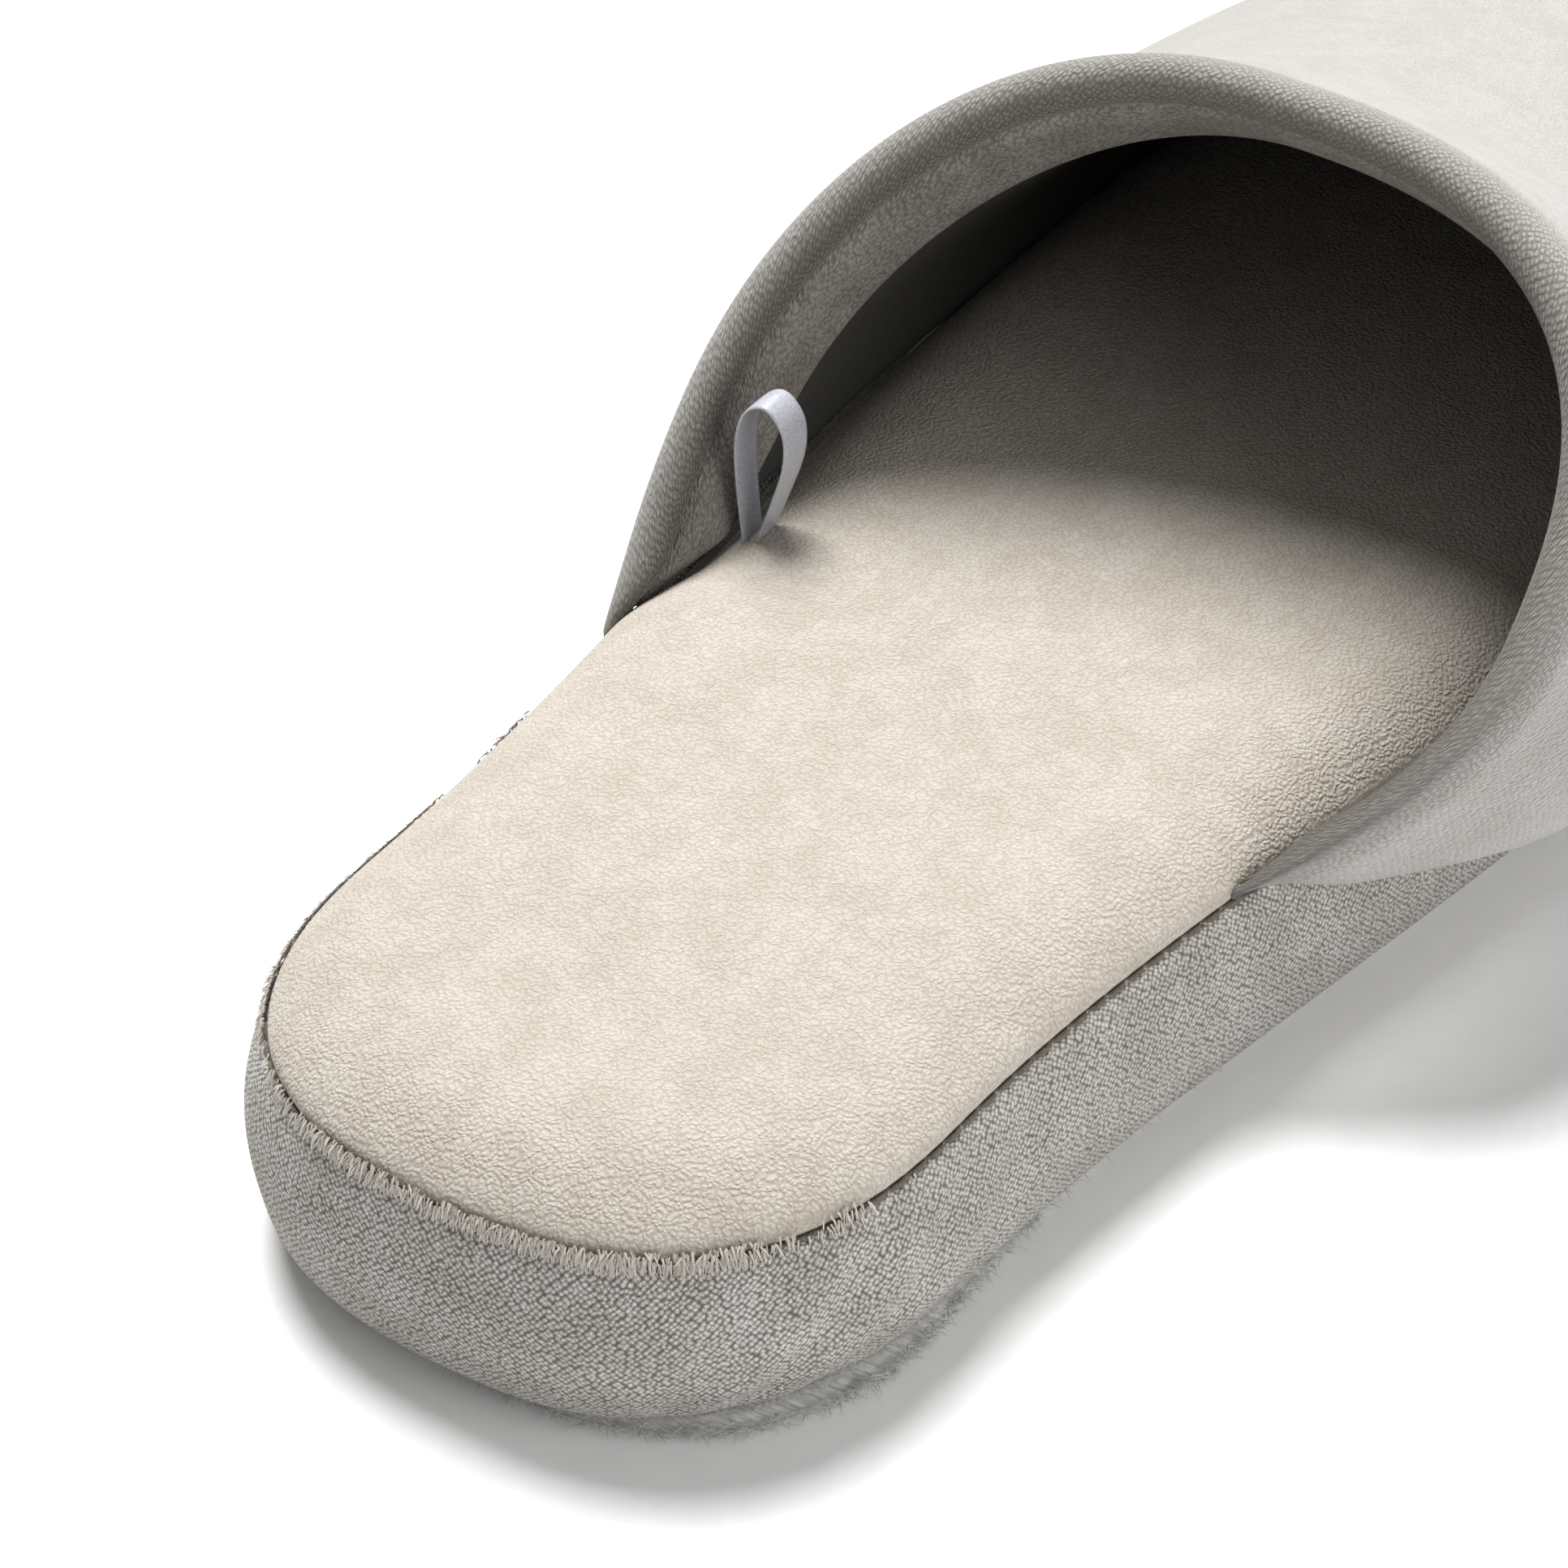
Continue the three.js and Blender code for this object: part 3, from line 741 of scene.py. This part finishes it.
def cut_pile(name, tip, root, shade, tuft, uneven, contrast, relief, sheen, roll=None):
    """Cut-pile velour: round tufts in the cloth's colour, darkened between them by painted shade.

    The pile leans in soft patches, so it looks lighter and darker from place
    to place, and its edge-on fibres catch light as a pale sheen. A roll is
    where the cloth turns over an edge and its tufts stand apart: it runs from
    the edge to a fade's start and end, with the strength of the painted shade
    in the gaps there. On a roll the inside of the turn gets painted shade too.
    Real tufts are about 0.3 mm apart; they are drawn at the tuft size given,
    0.5 mm or more, because finer ones blur away in a picture of the slipper.
    """
    material, tree, shader = new_finish(name)
    coat = add(tree, "ShaderNodeUVMap", uv_map="weave_mm").outputs[0]
    jitter = add(
        tree, "ShaderNodeTexNoise", {"Vector": coat}, {"Scale": 0.5, "Detail": 2.0}, noise_dimensions="2D",
    )
    push = add(
        tree, "ShaderNodeVectorMath", {0: jitter.outputs["Color"]}, {1: (0.5, 0.5, 0.5)},
        operation="SUBTRACT",
    )
    pushed = add(
        tree, "ShaderNodeVectorMath", {0: push.outputs[0]}, {1: (uneven, uneven, 0)},
        operation="MULTIPLY",
    )
    moved = add(tree, "ShaderNodeVectorMath", {0: coat, 1: pushed.outputs[0]}, operation="ADD")
    # Rows staggered like bricks: a square net turned by 45 degrees.
    net = add(
        tree, "ShaderNodeMapping", {"Vector": moved.outputs[0]},
        {"Rotation": (0, 0, math.radians(45)), "Scale": (1 / tuft, 1 / tuft, 1)},
    )
    knots = add(
        tree, "ShaderNodeTexVoronoi", {"Vector": net.outputs[0]},
        {"Scale": 1.0, "Randomness": clamp(uneven)}, voronoi_dimensions="2D",
    )
    fibre = add(
        tree, "ShaderNodeTexNoise", {"Vector": coat},
        {"Scale": 2.2, "Detail": 3.0, "Roughness": 0.65}, noise_dimensions="2D",
    )
    lean = add(
        tree, "ShaderNodeTexNoise", {"Vector": coat},
        {"Scale": 0.14, "Detail": 6.0, "Roughness": 0.72}, noise_dimensions="2D",
    )
    dome = add(
        tree, "ShaderNodeMapRange", {"Value": knots.outputs["Distance"]},
        {"From Min": 0.1, "From Max": 0.72, "To Min": 1.0, "To Max": 0.0},
    )
    height = add(
        tree, "ShaderNodeMath", {0: dome.outputs[0], 1: fibre.outputs[0]}, operation="MULTIPLY",
    )
    depth = add(
        tree, "ShaderNodeMapRange", {"Value": height.outputs[0]}, {"From Min": 0.05, "From Max": 0.55},
    )
    # Painted shade: deeper between the tufts, the tip colour gives way to the darker root colour.
    gap_shade = add(tree, "ShaderNodeMath", {1: depth.outputs[0]}, {0: 1.0}, operation="SUBTRACT")
    gap = add(tree, "ShaderNodeMath", {0: gap_shade.outputs[0]}, {1: contrast}, operation="MULTIPLY")
    pile = add(tree, "ShaderNodeMix", {"Factor": gap.outputs[0]}, data_type="RGBA")
    pile.inputs["A"].default_value = linear(tip)
    pile.inputs["B"].default_value = linear(root)
    patch = add(
        tree, "ShaderNodeMapRange", {"Value": lean.outputs[0]}, {"From Min": 0.4, "From Max": 0.6},
    )
    leaned = add(
        tree, "ShaderNodeMix", {"A": pile.outputs["Result"], "Factor": patch.outputs[0]},
        data_type="RGBA", blend_type="MULTIPLY",
    )
    leaned.inputs["B"].default_value = linear(shade)
    bump = add(
        tree, "ShaderNodeBump", {"Height": height.outputs[0]}, {"Strength": 1.0, "Distance": relief * MM},
    )
    colour = leaned
    if roll:
        start, end, strength = roll
        over = add(tree, "ShaderNodeSeparateXYZ", {0: coat})
        edge = add(
            tree, "ShaderNodeMapRange", {"Value": over.outputs["Y"]},
            {"From Min": start, "From Max": end, "To Min": strength, "To Max": contrast},
            interpolation_type="SMOOTHSTEP",
        )
        tree.links.new(edge.outputs[0], gap.inputs[1])
        # Painted shade: the inside of the turn, from the stitch groove, is darkened, fading out over the
        # rim.
        inner = add(
            tree, "ShaderNodeMapRange", {"Value": over.outputs["Y"]},
            {"From Min": 4.0, "From Max": 12.0, "To Min": 1.0, "To Max": 0.0},
            interpolation_type="SMOOTHSTEP",
        )
        colour = add(
            tree, "ShaderNodeMix", {"A": leaned.outputs["Result"], "Factor": inner.outputs[0]},
            data_type="RGBA", blend_type="MULTIPLY",
        )
        colour.inputs["B"].default_value = linear("#9c978e")
    tree.links.new(colour.outputs["Result"], shader.inputs["Base Color"])
    tree.links.new(bump.outputs[0], shader.inputs["Normal"])
    shader.inputs["Roughness"].default_value = 0.95
    shader.inputs["Specular IOR Level"].default_value = 0.15
    shader.inputs["Sheen Weight"].default_value = sheen
    shader.inputs["Sheen Roughness"].default_value = 0.45
    return material


# Brushed flat by wear: a soft cream nap with hardly any gaps between its tufts.
footbed_velour = cut_pile(
    "polyester velour, brushed footbed", "#c3bcb2", "#a1998f", "#f6f4f1", 0.5, 1.0, 0.75, 0.26, 0.15,
)
# Pulled tight round the pad: the rows open, so bright knots stand apart, with strong painted shade in the
# gaps.
wall_velour = cut_pile(
    "polyester velour, stretched sidewall", "#e6e3de", "#69655f", "#eeece8",
    0.55, 0.45, 1.0, 0.6, 0.15,
)
# Combed one way over the foam: smooth and pale, rough only where the rim turns; there the gaps and the
# inside of the turn get painted shade.
vamp_velour = cut_pile(
    "polyester velour, combed vamp", "#b4b2ae", "#86837e", "#f8f7f5",
    0.6, 0.5, 0.35, 0.35, 0.3, roll=(13, 18, 1.5),
)
# Never combed inside the mouth, its pile lies every way and looks mottled; its darker grey than the vamp's
# velour is painted shade for the mouth.
facing_velour_painted_shade = cut_pile(
    "polyester velour, inside facing", "#aeaaa3", "#625e58", "#e4e1dc", 0.6, 0.9, 0.8, 0.5, 0.15,
)


def loose_pile(name, root, tip):
    """Single tufts: darkened by painted shade where they leave the cloth, pale at the tip."""
    material, tree, shader = new_finish(name)
    coat = add(tree, "ShaderNodeUVMap", uv_map="weave_mm")
    part = add(tree, "ShaderNodeSeparateXYZ", {0: coat.outputs[0]})
    # Painted shade along each fibre: darkest at its root, fading out towards the tip.
    rise = add(
        tree, "ShaderNodeMapRange", {"Value": part.outputs["X"]}, {"From Min": 0.0, "From Max": 0.8},
    )
    pick = add(tree, "ShaderNodeMapRange", {"Value": part.outputs["Y"]}, {"To Min": 0.6, "To Max": 1.0})
    tone = add(tree, "ShaderNodeMath", {0: rise.outputs[0], 1: pick.outputs[0]}, operation="MULTIPLY")
    blend = add(tree, "ShaderNodeMix", {"Factor": tone.outputs[0]}, data_type="RGBA")
    blend.inputs["A"].default_value = linear(root)
    blend.inputs["B"].default_value = linear(tip)
    tree.links.new(blend.outputs["Result"], shader.inputs["Base Color"])
    shader.inputs["Roughness"].default_value = 0.9
    shader.inputs["Sheen Weight"].default_value = 0.2
    return material


# Hairs that came loose at the trimmed edges catch the light one by one.
footbed_tufts = loose_pile("polyester pile, brushed and loose", "#b8b0a6", "#cac3b9")
wall_tufts = loose_pile("polyester pile, cut sidewall edge", "#77726a", "#bdb8b0")
felt_hairs = loose_pile("polyester fibre, teased from the felt", "#b4b3af", "#dddcd9")


def plain(name, light, dark, grain, roughness, relief, detail=4.0, uv=False):
    """A material whose grain comes from one noise at a real size in millimetres."""
    material, tree, shader = new_finish(name)
    if uv:
        coat, scale = add(tree, "ShaderNodeUVMap", uv_map="weave_mm").outputs[0], 1 / grain
    else:
        coat, scale = add(tree, "ShaderNodeTexCoord").outputs["Object"], 1 / (grain * MM)
    speck = add(
        tree, "ShaderNodeTexNoise", {"Vector": coat},
        {"Scale": scale, "Detail": detail, "Roughness": 0.6},
    )
    tone = add(
        tree, "ShaderNodeMapRange", {"Value": speck.outputs[0]}, {"From Min": 0.35, "From Max": 0.65},
    )
    blend = add(tree, "ShaderNodeMix", {"Factor": tone.outputs[0]}, data_type="RGBA")
    blend.inputs["A"].default_value = linear(dark)
    blend.inputs["B"].default_value = linear(light)
    bump = add(
        tree, "ShaderNodeBump", {"Height": speck.outputs[0]}, {"Strength": 1.0, "Distance": relief * MM},
    )
    tree.links.new(blend.outputs["Result"], shader.inputs["Base Color"])
    tree.links.new(bump.outputs[0], shader.inputs["Normal"])
    shader.inputs["Roughness"].default_value = roughness
    return material


# Needled fibres lie every way: a matt grey with a fine salt-and-pepper grain.
felt_grey = plain("polyester felt, needled sole", "#c9c8c4", "#9c9b97", 0.5, 1.0, 0.25, uv=True)
# Painted shade: deep in the groove the thread is coloured a dark, dull brown-grey.
seam_thread_painted_shade = plain(
    "polyester thread, spun, in the seam's shade", "#6d655a", "#4a443b", 0.3, 0.9, 0.05, uv=True,
)
# A dark grey brushed knit, coloured darker still as painted shade, so the mouth looks deep.
# Its loops are finer than this grain, which is as coarse as it needs to show at all.
lining_cloth_painted_shade = plain("polyester tricot, brushed lining", "#4b4944", "#33322f", 0.4, 1.0, 0.1, uv=True)
# Closed cells under a moulded skin: near white, faintly mottled.
foam = plain("EVA foam, moulded midsole", "#ecebe6", "#dddbd4", 0.8, 0.9, 0.05)
# Open cells where the block was cut: yellowish and softly pitted.
cushion_foam = plain("polyurethane foam, cut cushion", "#ece7d8", "#d8d1bd", 0.6, 0.95, 0.1)
# Pressed fibres: brown, with darker flecks.
board = plain("cellulose fibreboard, pressed insole", "#ad9471", "#8e7757", 0.7, 0.9, 0.04)
# Heat makes the web stiff and a little glossy.
puff = plain("non-woven stiffener, heat set", "#dbd7cb", "#c3beb0", 0.5, 0.8, 0.06)
# Plain weave, matt; the threads are drawn somewhat coarser than they are.
tape_cloth = plain("cotton tape, woven seam binding", "#cbc8c0", "#aaa69c", 0.4, 0.95, 0.06)
# Twisted strands give each stitch a fine light and dark.
thread_grey = plain("polyester thread, spun", "#c0bcb3", "#8f8b83", 0.25, 0.8, 0.04)
# Floating warp threads give the ribbon its soft gloss. They are about 0.1 mm
# apart and are drawn as a coarser, faint grain.
satin = plain("polyester satin, woven ribbon", "#b4b5bc", "#9b9ca4", 0.35, 0.34, 0.02)


def dress(piece, material):
    """Gives a piece one material in place of any it has."""
    piece.data.materials.clear()
    piece.data.materials.append(material)


for piece, material in (
    (footbed, footbed_velour), (sidewall, wall_velour), (sole, felt_grey),
    (vamp, vamp_velour), (facing, facing_velour_painted_shade), (lining, lining_cloth_painted_shade), (padding, cushion_foam),
    (hem_thread, thread_grey), (seam_thread, seam_thread_painted_shade), (loop, satin),
    (footbed_fringe, footbed_tufts), (wall_fringe, wall_tufts), (felt_fibres, felt_hairs),
):
    dress(piece, material)
for node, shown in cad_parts.items():
    for start, material in (
        ("midsole_foam", foam), ("insole_board", board), ("footbed_cushion", cushion_foam),
        ("toe_puff", puff), ("vamp_seam_tape", tape_cloth), ("loop_tack", thread_grey),
    ):
        if node.startswith(start):
            dress(shown, material)

# ---- How the pieces move ----
for piece, stem, slot in (
    (footbed, "footbed_cover", "footbed_velour"), (sidewall, "sidewall_cloth", "sidewall_velour"),
    (sole, "outsole_felt", "sole_felt"), (seam_thread, "top_seam_thread", "thread"),
    (footbed_fringe, None, "footbed_velour"), (wall_fringe, None, "sidewall_velour"),
    (felt_fibres, None, "sole_felt"),
):
    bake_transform(piece)
    if stem:
        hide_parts(stem + "_heel", stem + "_front")
for piece, node, body, slot in (
    (vamp, "vamp_shell", "front", "vamp_velour"), (facing, "rim_hem", "front", "vamp_velour"),
    (lining, "vamp_lining", "front", "lining"), (padding, "vamp_padding", "front", "foam"),
    (hem_thread, "rim_hem_thread", "front", "thread"), (loop, "hanging_loop", "loop", "ribbon"),
):
    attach(piece, body)
    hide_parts(node)

# ---- Floor, lights and camera ----
clear()
bpy.ops.mesh.primitive_plane_add(size=8)
floor = bpy.context.object
floor.name = "studio_floor"
dress(floor, plain("matt paper, studio sweep", "#fbfbfb", "#f7f7f7", 4, 1.0, 0.0))


def softbox(name, place, aim, size, power):
    """A round area light at a place, turned to its aim; metres and watts."""
    lamp = bpy.data.lights.new(name, "AREA")
    lamp.shape = "DISK"
    lamp.size = size
    lamp.energy = power
    holder = bpy.data.objects.new(name, lamp)
    bpy.context.collection.objects.link(holder)
    holder.location = place
    holder.rotation_euler = (Vector(aim) - Vector(place)).to_track_quat("-Z", "Y").to_euler()
    return holder


softbox("overhead_softbox", (-0.62, 0.5, 1.6), (0, -0.03, 0), 1.1, 64)
softbox("lateral_fill", (1.4, -0.1, 0.55), (0, -0.03, 0), 1.4, 14)
world = bpy.data.worlds.new("studio")
world.use_nodes = True
world.node_tree.nodes["Background"].inputs[0].default_value = (1, 1, 1, 1)
world.node_tree.nodes["Background"].inputs[1].default_value = 0.24
bpy.context.scene.world = world
# Plain sRGB, as a product picture on white: the floor runs out to pure white.
bpy.context.scene.view_settings.view_transform = "Standard"

AIM = Vector((-18.1, -60.4, 24.1)) * MM
CAMERA_DISTANCE = 569.4 * MM
azimuth, elevation, roll = math.radians(35.99), math.radians(38.45), math.radians(-1.67)
back = Vector((
    math.sin(azimuth) * math.cos(elevation),
    -math.cos(azimuth) * math.cos(elevation),
    math.sin(elevation),
))
level = Vector((math.cos(azimuth), math.sin(azimuth), 0))
upright = back.cross(level)
right = level * math.cos(roll) + upright * math.sin(roll)
top = upright * math.cos(roll) - level * math.sin(roll)
lens = bpy.data.cameras.new("product_camera")
lens.sensor_width = 36
lens.lens = 125.4
camera = bpy.data.objects.new("product_camera", lens)
bpy.context.collection.objects.link(camera)
turned = Matrix((right, top, back)).transposed().to_4x4()
camera.matrix_world = Matrix.Translation(AIM + back * CAMERA_DISTANCE) @ turned
bpy.context.scene.camera = camera
